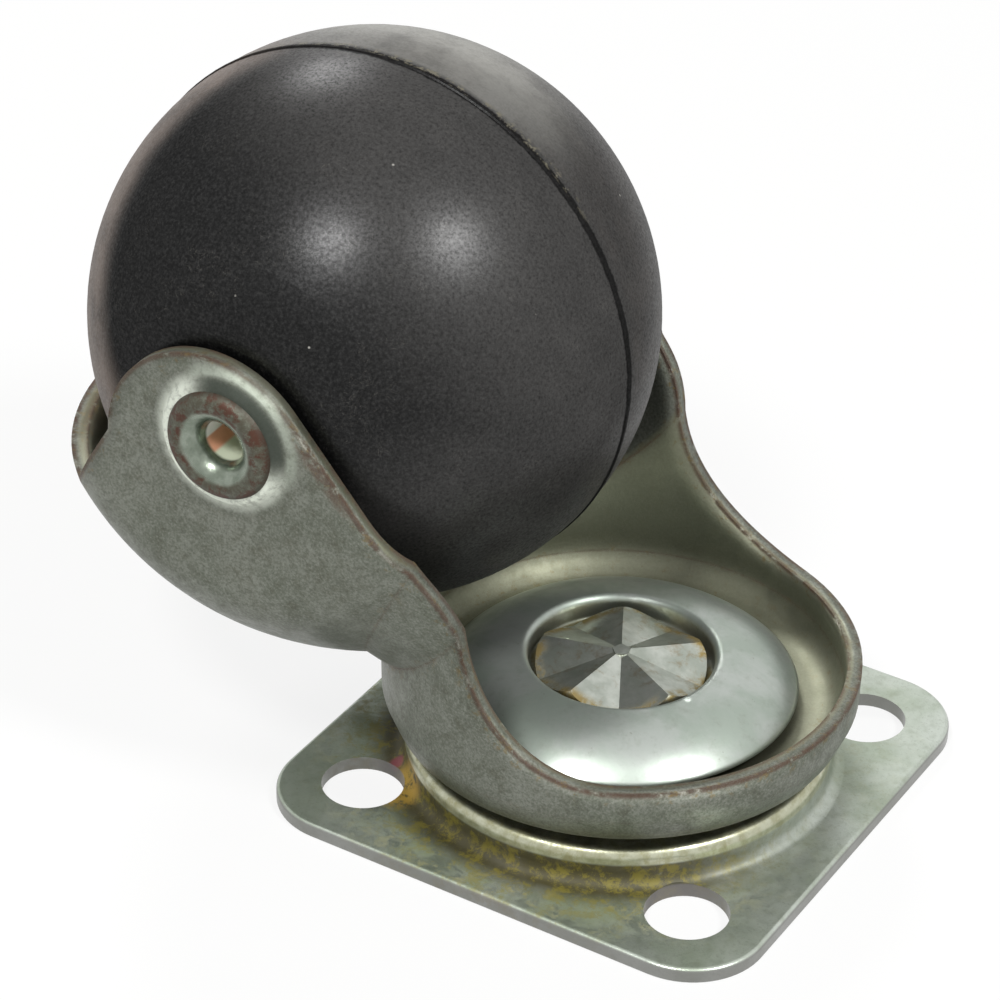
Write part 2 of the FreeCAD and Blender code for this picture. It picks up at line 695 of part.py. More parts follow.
def make_rubber_ball():
    """Solid ball bored for the bush, eased flat at the ears, with a thin flash where the mould parted."""
    body = new_body("rubber_ball")
    half_flash = "(Size.flash_width / 2)"
    flash_root = f"sqrt({BALL_RADIUS}^2 - {half_flash}^2)"
    flash_crest = f"({BALL_RADIUS} + Size.flash_height)"
    blend_out = f"({BALL_RADIUS} - Size.flat_blend_radius)"
    blend_along = f"({FLAT_HALF_WIDTH} - Size.flat_blend_radius)"
    flat_edge = f"sqrt({blend_out}^2 - {blend_along}^2)"
    tread_edge = f"{flat_edge} * {BALL_RADIUS} / {blend_out}"
    tread_along = f"({blend_along} * {BALL_RADIUS} / {blend_out})"
    section = [
        ("Size.bush_radius", f"-{FLAT_HALF_WIDTH}"),
        (flat_edge, f"-{FLAT_HALF_WIDTH}"),
        (tread_edge, f"-{tread_along}"),
        (flash_root, f"-{half_flash}"),
        (flash_crest, f"-{half_flash} / 2"),
        (flash_crest, f"{half_flash} / 2"),
        (flash_root, half_flash),
        (tread_edge, tread_along),
        (flat_edge, FLAT_HALF_WIDTH),
        ("Size.bush_radius", FLAT_HALF_WIDTH),
    ]
    arcs = [
        (1, "Size.flat_blend_radius", 1),
        (2, BALL_RADIUS, 1),
        (6, BALL_RADIUS, 1),
        (7, "Size.flat_blend_radius", 1),
    ]
    sketch = new_sketch(body, "XY_Plane", "ball_section", at_axle=True)
    outline(sketch, section, arcs)
    turned(body, "Revolution", sketch, "ball")
    return swung(body)


pieces = [
    make_top_plate(),
    make_king_rivet(),
    make_race_cap(),
    make_race_balls(
        "lower_race_balls",
        "Size.lower_race_radius",
        LOWER_BALL_HEIGHT,
        LOWER_BALL_RADIUS,
        "Size.lower_ball_count",
    ),
    make_fork(),
    swung(
        make_race_balls(
            "upper_race_balls",
            UPPER_RACE_RADIUS,
            UPPER_BALL_HEIGHT,
            UPPER_BALL_RADIUS,
            "Size.upper_ball_count",
        )
    ),
    make_axle_tube(),
    make_hub_bush(),
    make_rubber_ball(),
]
doc.recompute()

for obj in doc.Objects:
    if "Invalid" in obj.State or "Error" in obj.State:
        raise RuntimeError(f"{obj.Label} did not build: {obj.getStatusString()}")
for piece in pieces:
    if piece.Shape.isNull() or not piece.Shape.isValid() or piece.Shape.Volume <= 0:
        raise RuntimeError(f"{piece.Label} is not a sound solid")

os.makedirs("parts", exist_ok=True)
for piece in pieces:
    piece.Shape.exportStep(f"parts/{piece.Label}.step")
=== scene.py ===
import json
import math

import bpy
from mathutils import Matrix, Vector

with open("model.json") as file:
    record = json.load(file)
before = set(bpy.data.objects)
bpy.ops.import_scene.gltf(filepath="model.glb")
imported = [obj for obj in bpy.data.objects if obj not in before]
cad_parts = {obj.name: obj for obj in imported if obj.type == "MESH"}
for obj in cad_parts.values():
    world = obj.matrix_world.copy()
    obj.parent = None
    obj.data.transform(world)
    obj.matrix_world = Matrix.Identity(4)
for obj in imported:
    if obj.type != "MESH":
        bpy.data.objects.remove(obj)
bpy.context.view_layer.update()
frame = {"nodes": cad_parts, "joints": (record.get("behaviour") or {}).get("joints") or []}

MM = 0.001  # a millimetre of the castor in Blender's metres

# The ball and its axle, from the joint on which the ball rolls.
ball_spin = next(joint for joint in frame["joints"] if joint["name"] == "ball_spin")
BALL_CENTRE = tuple(place / MM for place in ball_spin["pos_m"])
BALL_AXIS = tuple(ball_spin["axis"])
FORK_FRONT = (BALL_AXIS[1], -BALL_AXIS[0], 0.0)
BALL_RADIUS = 25.0

# Sizes and places on the castor, in millimetres of the shared frame.
ORIGIN = (0.0, 0.0, 0.0)
UP = (0.0, 0.0, 1.0)
BOWL_INSIDE = 28.2  # radius of the bowl's inner face about the ball's centre
EAR_INSIDE = 23.1  # from the ball's centre to the inner face of an ear
EAR_RADIUS = 10.1
CUP_INSIDE = 19.9
CUP_FLOOR = 7.8
HEEL_FRONT, HEEL_BACK = -44.0, -49.0  # along the fork, from the swivel
RING_TOP, RING_FOOT = 5.4, 6.1  # radii of the raised ring round the axle
FLANGE_RADIUS = 5.0
LIP_RADIUS = 3.9  # crest of the tube's rolled rim
BORE_MOUTH = 23.95  # from the ball's centre along the axle
CAP_SINK_RADIUS = 8.3
RIVET_HEAD_RADIUS = 7.6
BOSS_RADIUS = 19.2
BOSS_BAND = 3.2  # height above which the wall of the boss stays pale
DIRT_REACH = 30.0  # radius at which the dirt round the boss ends
PLATE_TOP = 1.3
OCHRE_PATCH = (-13.6, -15.6, PLATE_TOP)
RED_DAB = (-15.4, -12.4, PLATE_TOP)

# Directions across the ball and the plate: to the left of the view, towards the view, and towards where
# painted light and painted bounce light lie on the ball.
VIEW_LEFT = (-0.850, -0.527, -0.017)
VIEW_FACING = (0.432, -0.716, 0.548)
LIT_SIDE = (0.500, 0.696, 0.515)
BOUNCE_SIDE = (0.751, -0.051, -0.659)
CRESCENT_FRONT, CRESCENT_UP = 0.64, 0.77  # where the painted shadow lies on the ring of an ear

# View of the photo: bearing, height and tilt in degrees, distance, target, lens and sensor in millimetres.
# The clip distances are in metres.
VIEW_AZIMUTH = 31.134
VIEW_ELEVATION = 33.249
VIEW_ROLL = 1.162
VIEW_DISTANCE = 328.77
VIEW_TARGET = (-9.452, -5.647, 27.865)
VIEW_LENS = 137.36
SENSOR_WIDTH = 36.0
CLIP_START, CLIP_END = 0.01, 20.0

# Soft lamps round the castor: bearing, height, radius of the disc in metres, power in watts.
LAMPS = (
    (2, 56, 0.06, 2.0),
    (82, 51, 0.06, 2.2),
    (-133, 37, 0.08, 1.5),
)
LAMP_DISTANCE = 0.6
SKY_FILL = 0.2

# The floor, in metres, and the share of plain white that the eye sees on it.
FLOOR_SIDE = 8.0
FLOOR_DROP = 0.0001
FLOOR_WHITE = 0.85

WHITE = (1.0, 1.0, 1.0, 1.0)


def colour(red, green, blue):
    """A colour as it is seen on a screen, 0 to 255, turned into light."""
    shares = [value / 255 for value in (red, green, blue)]
    light = [s / 12.92 if s <= 0.04045 else ((s + 0.055) / 1.055) ** 2.4 for s in shares]
    return (*light, 1.0)


class Graph:
    """Node tree of one material. Places and lengths are in millimetres of the castor's own frame."""

    def __init__(self, name):
        self.material = bpy.data.materials.new(name)
        self.material.use_nodes = True
        self.tree = self.material.node_tree
        self.tree.nodes.clear()
        self.place = self.vector("SCALE", self.add("ShaderNodeTexCoord").outputs["Object"], 1 / MM)
        self.facing = self.add("ShaderNodeNewGeometry").outputs["Normal"]

    def add(self, kind, **settings):
        node = self.tree.nodes.new(kind)
        for key, value in settings.items():
            setattr(node, key, value)
        return node

    def feed(self, socket, value):
        if isinstance(value, bpy.types.NodeSocket):
            self.tree.links.new(value, socket)
        else:
            socket.default_value = value

    def maths(self, operation, *values):
        node = self.add("ShaderNodeMath", operation=operation)
        for socket, value in zip(node.inputs, values):
            self.feed(socket, value)
        return node.outputs[0]

    def vector(self, operation, first, second=None):
        node = self.add("ShaderNodeVectorMath", operation=operation)
        self.feed(node.inputs[0], first)
        if operation == "SCALE":
            self.feed(node.inputs["Scale"], second)
        elif second is not None:
            self.feed(node.inputs[1], second)
        return node.outputs["Value" if operation in ("LENGTH", "DOT_PRODUCT", "DISTANCE") else "Vector"]

    def noise(self, grain, detail=4.0, rough=0.55, twist=0.0):
        """Noise from 0 to 1 whose patches are about as wide as the grain."""
        node = self.add("ShaderNodeTexNoise")
        self.feed(node.inputs["Vector"], self.place)
        self.feed(node.inputs["Scale"], 1.0 / grain)
        self.feed(node.inputs["Detail"], detail)
        self.feed(node.inputs["Roughness"], rough)
        self.feed(node.inputs["Distortion"], twist)
        return node.outputs["Fac"]

    def cells(self, grain):
        """Distance to the middle of the nearest cell, in cell widths."""
        node = self.add("ShaderNodeTexVoronoi")
        self.feed(node.inputs["Vector"], self.place)
        self.feed(node.inputs["Scale"], 1.0 / grain)
        return node.outputs["Distance"]

    def ramp(self, value, low, high, start=0.0, end=1.0):
        """Smooth step from start at low to end at high."""
        node = self.add("ShaderNodeMapRange", interpolation_type="SMOOTHSTEP")
        for socket, setting in zip(node.inputs, (value, low, high, start, end)):
            self.feed(socket, setting)
        return node.outputs[0]

    def both(self, first, second):
        return self.maths("MULTIPLY", first, second)

    def either(self, first, second):
        return self.maths("MAXIMUM", first, second)

    def mix(self, share, first, second):
        node = self.add("ShaderNodeMix", data_type="RGBA")
        self.feed(node.inputs["Factor"], share)
        sockets = [socket for socket in node.inputs if socket.type == "RGBA"]
        self.feed(sockets[0], first)
        self.feed(sockets[1], second)
        return next(socket for socket in node.outputs if socket.type == "RGBA")

    def bevel(self, radius):
        """Normals as if the edges of the piece were rounded."""
        node = self.add("ShaderNodeBevel", samples=6)
        self.feed(node.inputs["Radius"], radius * MM)
        return node.outputs[0]

    def worn(self, bevel, low, high):
        """1 on the edges that a bevel rounds and 0 on open faces."""
        agreement = self.vector("DOT_PRODUCT", bevel, self.facing)
        return self.ramp(self.maths("SUBTRACT", 1.0, agreement), low, high)

    def corners(self, reach, low=0.35, high=0.9):
        """1 deep in corners and gaps, 0 on open faces, as a mask for painted shade."""
        shade = self.add("ShaderNodeAmbientOcclusion", samples=8)
        self.feed(shade.inputs["Distance"], reach * MM)
        return self.ramp(shade.outputs["AO"], low, high, 1.0, 0.0)

    def distance(self, point):
        return self.vector("DISTANCE", self.place, point)

    def along(self, point, axis):
        """How far the place lies from the point in the direction of the axis."""
        return self.vector("DOT_PRODUCT", self.vector("SUBTRACT", self.place, point), axis)

    def from_axis(self, point, axis):
        """Distance from the line through the point."""
        offset = self.vector("SUBTRACT", self.place, point)
        line = self.vector("SCALE", axis, self.along(point, axis))
        return self.vector("LENGTH", self.vector("SUBTRACT", offset, line))

    def share(self, value, amount):
        return self.maths("MULTIPLY", value, amount)

    def bump(self, height, depth, before=None):
        """Normals of a relief of that depth."""
        node = self.add("ShaderNodeBump")
        self.feed(node.inputs["Height"], height)
        self.feed(node.inputs["Distance"], depth * MM)
        self.feed(node.inputs["Strength"], 1.0)
        if before is not None:
            self.feed(node.inputs["Normal"], before)
        return node.outputs[0]

    def metal(self, base, roughness, metal, normal):
        """Material of a metal piece."""
        shader = self.add("ShaderNodeBsdfPrincipled")
        self.feed(shader.inputs["Base Color"], base)
        self.feed(shader.inputs["Roughness"], roughness)
        self.feed(shader.inputs["Metallic"], metal)
        self.feed(shader.inputs["Normal"], normal)
        return self.surface(shader)

    def matt(self, base, roughness, gloss, normal):
        """Material of a matt piece with a share of gloss."""
        body = self.add("ShaderNodeBsdfDiffuse")
        self.feed(body.inputs["Color"], base)
        self.feed(body.inputs["Normal"], normal)
        film = self.add("ShaderNodeBsdfGlossy")
        self.feed(film.inputs["Color"], WHITE)
        self.feed(film.inputs["Roughness"], roughness)
        self.feed(film.inputs["Normal"], normal)
        return self.surface(self.blend(gloss, body, film))

    def blend(self, share, first, second):
        node = self.add("ShaderNodeMixShader")
        self.feed(node.inputs[0], share)
        self.tree.links.new(first.outputs[0], node.inputs[1])
        self.tree.links.new(second.outputs[0], node.inputs[2])
        return node

    def surface(self, shader):
        output = self.add("ShaderNodeOutputMaterial")
        self.tree.links.new(shader.outputs[0], output.inputs["Surface"])
        return self.material


def fork_zinc():
    """Dull mottled zinc with a painted highlight and a painted shadow round the axle, rusty along the
    sheared rim, olive inside, with painted shade at the heel and in corners.
    """
    g = Graph("fork_zinc")
    cloud = g.noise(9.0, 4.0, 0.6, 0.4)
    flake = g.noise(1.6, 6.0, 0.7, 0.2)
    grain = g.noise(0.25, 3.0, 0.7)
    base = g.mix(g.ramp(cloud, 0.35, 0.65), colour(104, 108, 97), colour(118, 121, 111))
    base = g.mix(g.ramp(flake, 0.45, 0.7, 0.0, 0.5), base, colour(132, 135, 126))
    base = g.mix(g.ramp(flake, 0.5, 0.3, 0.0, 0.5), base, colour(86, 86, 72))
    base = g.mix(g.ramp(grain, 0.45, 0.7, 0.0, 0.55), base, colour(76, 77, 68))
    base = g.mix(g.ramp(grain, 0.5, 0.3, 0.0, 0.4), base, colour(146, 149, 140))

    # inner faces of the bowl and the cup
    side = g.maths("ABSOLUTE", g.along(BALL_CENTRE, BALL_AXIS))
    bowl = g.ramp(g.distance(BALL_CENTRE), BOWL_INSIDE + 1.0, BOWL_INSIDE + 0.4)
    bowl = g.both(bowl, g.ramp(side, EAR_INSIDE + 0.8, EAR_INSIDE + 0.5))
    cup = g.ramp(g.from_axis(ORIGIN, UP), CUP_INSIDE + 0.7, CUP_INSIDE + 0.3)
    cup = g.both(cup, g.ramp(g.along(ORIGIN, UP), CUP_FLOOR - 0.4, CUP_FLOOR - 0.1))
    heel = g.both(bowl, g.ramp(g.along(ORIGIN, FORK_FRONT), HEEL_FRONT, HEEL_BACK))
    base = g.mix(g.share(g.either(bowl, cup), 0.7), base, colour(138, 139, 117))
    # painted shade: dark olive over the inner face of the heel
    base = g.mix(g.share(heel, 0.85), base, colour(70, 62, 40))

    # wear, rust and ochre specks along the cut edge and the front of the ears, away from the axle
    ring = g.from_axis(BALL_CENTRE, BALL_AXIS)
    front = g.along(BALL_CENTRE, FORK_FRONT)
    away = g.ramp(ring, RING_FOOT + 0.5, RING_FOOT + 1.7)
    soft = g.bevel(3.0)
    sharp = g.bevel(1.0)
    blotch = g.noise(2.4, 6.0, 0.75)
    rim = g.both(g.worn(sharp, 0.01, 0.12), away)
    crown = g.both(g.worn(soft, 0.03, 0.15), away)
    crown = g.both(crown, g.both(g.ramp(ring, EAR_RADIUS + 3.9, EAR_RADIUS - 0.1), g.ramp(front, -2.0, 3.0)))
    rust = g.both(g.either(rim, crown), g.ramp(blotch, 0.41, 0.51))
    bare = g.both(g.both(g.worn(sharp, 0.1, 0.3), away), g.ramp(blotch, 0.46, 0.36))
    ochre = g.both(g.both(g.worn(soft, 0.005, 0.1), away), g.ramp(g.noise(0.9, 4.0, 0.7), 0.56, 0.64))
    base = g.mix(g.share(rim, 0.5), base, colour(96, 86, 72))
    base = g.mix(g.share(rust, 0.9), base, colour(84, 54, 38))
    base = g.mix(g.share(bare, 0.6), base, colour(186, 184, 174))
    base = g.mix(g.share(ochre, 0.75), base, colour(116, 96, 54))

    # painted highlight as a pale ring and painted shadow on one side of the raised ring of each ear, with a
    # pale painted highlight round the shadow
    above = g.along(BALL_CENTRE, UP)
    slant = g.maths("ADD", g.share(front, CRESCENT_FRONT), g.share(above, CRESCENT_UP))
    lean = g.maths("DIVIDE", slant, ring)
    patchy = g.ramp(g.noise(0.8, 5.0, 0.7), 0.3, 0.55, 0.45, 1.0)
    painted_highlight = g.both(g.ramp(ring, RING_FOOT + 0.9, RING_TOP), g.ramp(lean, 0.7, 0.1))
    base = g.mix(g.both(g.share(painted_highlight, 0.95), patchy), base, colour(236, 242, 228))
    painted_shadow = g.both(g.ramp(ring, RING_FOOT + 0.2, RING_TOP + 0.3), g.ramp(lean, 0.3, 0.75))
    base = g.mix(g.share(painted_shadow, 0.9), base, colour(44, 52, 42))
    painted_glow = g.ramp(ring, RING_FOOT - 0.2, RING_FOOT + 0.2)
    painted_glow = g.both(painted_glow, g.ramp(ring, RING_FOOT + 1.5, RING_FOOT + 0.3))
    painted_glow = g.both(painted_glow, g.ramp(lean, 0.2, 0.6))
    base = g.mix(g.both(g.share(painted_glow, 0.6), patchy), base, colour(178, 186, 172))

    # painted shade darkening corners and gaps
    base = g.mix(g.share(g.corners(4.0), 0.45), base, colour(66, 64, 46))
    roughness = g.maths("ADD", g.ramp(flake, 0.3, 0.7, 0.5, 0.4), g.share(rust, 0.3))
    metal = g.maths("SUBTRACT", 0.85, g.share(g.either(rust, g.either(painted_highlight, painted_shadow)), 0.6))
    return g.metal(base, roughness, metal, g.bump(grain, 0.012, soft))


def plate_zinc():
    """Bright zinc with grey-green clouds, ochre and yellow dirt round the boss, painted shade at the boss's
    foot and on the upright faces, and a painted reflection of the cup.
    """
    g = Graph("plate_zinc")
    cloud = g.noise(11.0, 4.0, 0.55, 0.6)
    flake = g.noise(1.2, 5.0, 0.65)
    grain = g.noise(0.3, 3.0, 0.7)
    radius = g.from_axis(ORIGIN, UP)
    height = g.along(ORIGIN, UP)
    base = g.mix(g.ramp(cloud, 0.35, 0.65), colour(156, 166, 150), colour(190, 197, 188))
    base = g.mix(g.ramp(flake, 0.5, 0.3, 0.0, 0.35), base, colour(126, 134, 114))
    base = g.mix(g.ramp(flake, 0.55, 0.75, 0.0, 0.35), base, colour(204, 209, 198))
    base = g.mix(g.ramp(grain, 0.5, 0.7, 0.0, 0.3), base, colour(116, 122, 106))

    # dirt that thins out in streaks and specks from the foot of the boss, whose upper wall stays pale, with
    # painted shade in the dark brown at the foot and a painted reflection of the cup in the olive streaks
    wall = g.ramp(height, BOSS_BAND, BOSS_BAND + 0.3)
    below = g.maths("SUBTRACT", 1.0, wall)
    # olive, dark brown and yellow marks are stronger towards the left of the view
    leftward = g.ramp(g.along(ORIGIN, VIEW_LEFT), -17.0, -3.0, 0.15, 1.0)
    base = g.mix(wall, base, g.mix(g.ramp(flake, 0.35, 0.65), colour(166, 166, 138), colour(192, 194, 172)))
    streak = g.noise(3.4, 7.0, 0.75, 0.5)
    # olive streaks: partly dirt, partly a painted reflection of the cup
    olive = g.both(g.both(g.ramp(radius, DIRT_REACH, BOSS_RADIUS + 1.3), below), g.ramp(streak, 0.4, 0.62))
    yellow = g.ramp(g.noise(1.6, 7.0, 0.8, 0.3), 0.47, 0.6)
    yellow = g.both(yellow, g.ramp(radius, DIRT_REACH, BOSS_RADIUS + 1.8))
    yellow = g.both(yellow, g.ramp(wall, 0.0, 1.0, 1.0, 0.5))
    # dark brown at the foot of the boss: partly dirt, partly painted shade under the cup
    dirt = g.both(g.ramp(radius, BOSS_RADIUS + 3.8, BOSS_RADIUS + 1.0), below)
    dirt = g.both(dirt, g.ramp(g.noise(2.6, 6.0, 0.7), 0.12, 0.38))
    base = g.mix(g.both(g.share(olive, 0.65), leftward), base, colour(110, 118, 74))
    base = g.mix(g.both(g.share(dirt, 0.92), leftward), base, colour(60, 52, 16))
    base = g.mix(g.both(g.share(yellow, 0.65), leftward), base, colour(132, 122, 42))

    # one ochre patch and one red dab by the left hole
    blob = g.both(g.ramp(g.distance(OCHRE_PATCH), 3.4, 1.8), g.ramp(g.noise(1.2, 4.0, 0.7), 0.36, 0.5))
    base = g.mix(g.share(blob, 0.9), base, colour(176, 144, 60))
    dab = g.ramp(g.distance(RED_DAB), 1.0, 0.5)
    base = g.mix(g.share(dab, 0.8), base, colour(140, 70, 80))

    # painted shade: grey on the shorn sides and hole walls
    level = g.maths("ABSOLUTE", g.vector("DOT_PRODUCT", g.facing, UP))
    sides = g.both(g.ramp(level, 0.8, 0.4), g.ramp(height, PLATE_TOP + 0.2, PLATE_TOP - 0.1))
    base = g.mix(g.share(sides, 0.75), base, colour(122, 119, 119))
    stain_and_painted_light = g.either(g.both(g.either(g.either(olive, yellow), dirt), leftward), blob)
    roughness = g.maths("ADD", g.ramp(cloud, 0.3, 0.7, 0.36, 0.28), g.share(stain_and_painted_light, 0.25))
    metal = g.maths("SUBTRACT", 0.78, g.share(stain_and_painted_light, 0.6))
    return g.metal(base, roughness, metal, g.bump(flake, 0.015, g.bump(grain, 0.008)))


def cap_steel():
    """Bright pressed disc with a greenish bloom, dirt in its hollow and painted shade in its corners."""
    g = Graph("cap_steel")
    radius = g.from_axis(ORIGIN, UP)
    cloud = g.noise(5.0, 5.0, 0.6, 0.3)
    base = g.mix(g.ramp(cloud, 0.35, 0.65), colour(156, 166, 156), colour(176, 182, 176))
    base = g.mix(g.ramp(g.noise(1.2, 5.0, 0.7), 0.5, 0.75, 0.0, 0.4), base, colour(138, 144, 132))
    specks = g.ramp(g.noise(0.7, 4.0, 0.7), 0.66, 0.74)
    base = g.mix(g.share(specks, 0.4), base, colour(104, 100, 80))
    sunk = g.ramp(radius, CAP_SINK_RADIUS + 0.2, CAP_SINK_RADIUS - 0.4)
    sunk = g.both(sunk, g.ramp(g.noise(3.0, 4.0, 0.7), 0.3, 0.55))
    base = g.mix(g.share(sunk, 0.85), base, colour(122, 104, 40))
    # painted shade darkening corners and gaps
    base = g.mix(g.share(g.corners(2.0), 0.45), base, colour(76, 72, 52))
    roughness = g.maths("ADD", g.ramp(cloud, 0.3, 0.7, 0.4, 0.28), g.share(sunk, 0.2))
    return g.metal(base, roughness, 0.72, g.bump(g.noise(0.6, 3.0), 0.005, g.bevel(0.5)))


def rivet_steel():
    """Staked rivet with bright facets, brown patches, painted shade in its grooves and ochre round its edge.
    """
    g = Graph("rivet_steel")
    radius = g.from_axis(ORIGIN, UP)
    cloud = g.noise(2.5, 4.0, 0.6)
    base = g.mix(g.ramp(cloud, 0.3, 0.7), colour(156, 162, 152), colour(192, 196, 188))
    brown = g.ramp(g.noise(2.0, 5.0, 0.7, 0.4), 0.52, 0.66)
    base = g.mix(g.share(brown, 0.5), base, colour(136, 120, 90))
    dirt = g.ramp(radius, RIVET_HEAD_RADIUS - 1.4, RIVET_HEAD_RADIUS - 0.3)
    dirt = g.both(dirt, g.ramp(g.noise(2.4, 5.0, 0.7), 0.36, 0.56))
    base = g.mix(g.share(dirt, 0.85), base, colour(136, 114, 46))
    # painted shade darkening grooves and corners
    base = g.mix(g.share(g.corners(1.5), 0.45), base, colour(84, 80, 56))
    roughness = g.maths("ADD", g.ramp(cloud, 0.3, 0.7, 0.36, 0.28), g.share(dirt, 0.3))
    return g.metal(base, roughness, 0.85, g.bump(g.noise(0.5, 3.0), 0.02))


def axle_steel():
    """Rolled tube end, rusty round its rim with painted shade at the flange's outer edge, with a bright
    throat and painted light in the bore.
    """
    g = Graph("axle_steel")
    radius = g.from_axis(BALL_CENTRE, BALL_AXIS)
    depth = g.maths("ABSOLUTE", g.along(BALL_CENTRE, BALL_AXIS))
    above = g.along(BALL_CENTRE, UP)
    front = g.along(BALL_CENTRE, FORK_FRONT)
    cloud = g.noise(1.4, 5.0, 0.65)
    base = g.mix(g.ramp(cloud, 0.3, 0.7), colour(112, 121, 108), colour(142, 150, 138))
    rolled = g.ramp(radius, LIP_RADIUS - 0.8, LIP_RADIUS - 0.3)
    dull = g.both(rolled, g.ramp(g.noise(0.6, 5.0, 0.75), 0.3, 0.6, 0.65, 1.0))
    base = g.mix(dull, base, colour(72, 69, 56))
    rust = g.both(rolled, g.ramp(g.noise(2.0, 5.0, 0.75), 0.46, 0.56))
    base = g.mix(g.share(rust, 0.9), base, colour(70, 36, 20))
    # painted shade: dark at the outer edge of the flange
    edge = g.ramp(radius, FLANGE_RADIUS - 0.4, FLANGE_RADIUS)
    base = g.mix(g.share(edge, 0.6), base, colour(52, 44, 34))

    # painted light in the bore beyond the throat: greenish in front, and at the back near white above and
    # salmon below
    bore = g.ramp(depth, BORE_MOUTH + 0.35, BORE_MOUTH - 0.05)
    painted_band = g.ramp(above, -0.25, -0.5)
    fore = g.ramp(front, -1.25, -0.95)
    lining = g.mix(painted_band, colour(246, 246, 244), colour(232, 168, 136))
    lining = g.mix(fore, lining, colour(216, 224, 200))
    base = g.mix(bore, base, lining)
    roughness = g.maths("ADD", 0.26, g.share(g.either(rolled, bore), 0.25))
    metal = g.both(g.maths("SUBTRACT", 0.9, g.share(rolled, 0.5)), g.maths("SUBTRACT", 1.0, bore))
    return g.metal(base, roughness, metal, g.bump(cloud, 0.05))


def plain_steel(name, tint):
    """Oiled bearing steel with rusty specks."""
    g = Graph(name)
    cloud = g.noise(1.2, 4.0, 0.6)
    base = g.mix(g.ramp(cloud, 0.3, 0.7), tint, colour(176, 176, 172))
    base = g.mix(g.ramp(g.noise(0.5, 4.0, 0.7), 0.62, 0.75, 0.0, 0.6), base, colour(92, 76, 52))
    return g.metal(base, g.ramp(cloud, 0.3, 0.7, 0.3, 0.18), 0.95, g.bump(cloud, 0.005))


def black_rubber():
    """Matt black rubber with a ragged moulding line, pitted grain and fine scratches, greyed in places by a
    dusting and by painted light, bounce light, sheen and rim reflection.
    """
    g = Graph("black_rubber")
    along = g.along(BALL_CENTRE, BALL_AXIS)
    above = g.along(BALL_CENTRE, UP)
    cloud = g.noise(6.0, 5.0, 0.65)
    grain = g.noise(0.28, 4.0, 0.75)

    # black, with painted light greying it towards the top and painted bounce light from the cap greying it
    # low in front
    black = colour(12, 12, 12)
    top = g.ramp(g.along(BALL_CENTRE, LIT_SIDE), -5.0, 9.0)
    foot = g.ramp(g.along(BALL_CENTRE, BOUNCE_SIDE), 8.0, 17.0, 0.0, 0.7)
    grey = g.both(g.either(top, foot), g.ramp(cloud, 0.3, 0.7, 0.7, 1.0))
    base = g.mix(grey, black, colour(56, 55, 54))
    base = g.mix(g.ramp(grain, 0.52, 0.72, 0.0, 0.14), base, colour(86, 85, 83))
    base = g.mix(g.ramp(grain, 0.48, 0.3, 0.0, 0.5), base, black)

    # pale specks and hair-fine scratches
    specks = g.both(g.ramp(g.cells(2.6), 0.055, 0.03), g.ramp(g.noise(2.2, 2.0), 0.6, 0.65))
    base = g.mix(specks, base, colour(150, 148, 142))
    scratch = g.maths("ABSOLUTE", g.maths("SUBTRACT", g.noise(2.4, 3.0, 0.6, 2.5), 0.5))
    line = g.both(g.ramp(scratch, 0.007, 0.0), g.ramp(cloud, 0.52, 0.6))
    base = g.mix(g.share(line, 0.6), base, colour(84, 82, 78))

    # far half greyed partly by a dusting and partly by painted light, a painted sheen towards its top, and a
    # tan painted rim reflection down one side
    far_dust_and_light = g.both(g.ramp(along, 0.4, 1.6), g.ramp(g.noise(5.0, 6.0, 0.7), 0.32, 0.68))
    # painted sheen near the top of the far half
    high = g.both(g.ramp(along, 0.4, 1.2), g.ramp(along, 1.0, 9.0, 0.4, 1.0))
    high = g.both(high, g.ramp(above, 16.0, BALL_RADIUS))
    # painted rim reflection along the silhouette on the left of the view
    towards_view = g.along(BALL_CENTRE, VIEW_FACING)
    painted_band = g.both(g.ramp(towards_view, 12.5, 8.5), g.ramp(towards_view, -6.0, 3.0))
    painted_band = g.both(painted_band, g.ramp(g.along(BALL_CENTRE, VIEW_LEFT), 4.0, 14.0))
    patchy = g.ramp(cloud, 0.3, 0.6, 0.5, 1.0)
    base = g.mix(g.share(far_dust_and_light, 0.12), base, colour(104, 97, 92))
    base = g.mix(g.both(g.share(high, 0.75), patchy), base, colour(172, 171, 165))
    base = g.mix(g.both(g.share(painted_band, 0.8), patchy), base, colour(124, 112, 104))

    # moulding line with rags of flash on top
    rags = g.noise(1.0, 5.0, 0.75)
    wander = g.maths("ADD", along, g.share(g.maths("SUBTRACT", rags, 0.5), 0.7))
    seam = g.ramp(g.maths("ABSOLUTE", wander), 0.55, 0.32)
    base = g.mix(g.share(seam, 0.85), base, colour(8, 8, 8))
    flash = g.both(g.both(g.ramp(along, -0.1, 0.2), g.ramp(along, 1.3, 0.7)), g.ramp(above, 13.0, 19.0))
    flash = g.both(flash, g.ramp(rags, 0.5, 0.58))
    base = g.mix(g.share(flash, 0.8), base, colour(108, 104, 90))

    grazing = g.add("ShaderNodeLayerWeight")
    g.feed(grazing.inputs["Blend"], 0.5)
    sheen = g.ramp(grazing.outputs["Facing"], 0.55, 1.0, 0.02, 0.14)
    pitted = g.ramp(grain, 0.35, 0.65, 0.6, 1.4)
    gloss = g.both(g.both(sheen, pitted), g.maths("SUBTRACT", 1.0, g.share(seam, 0.6)))
    roughness = g.ramp(cloud, 0.3, 0.7, 0.36, 0.31)
    return g.matt(base, roughness, gloss, g.bump(grain, 0.008))


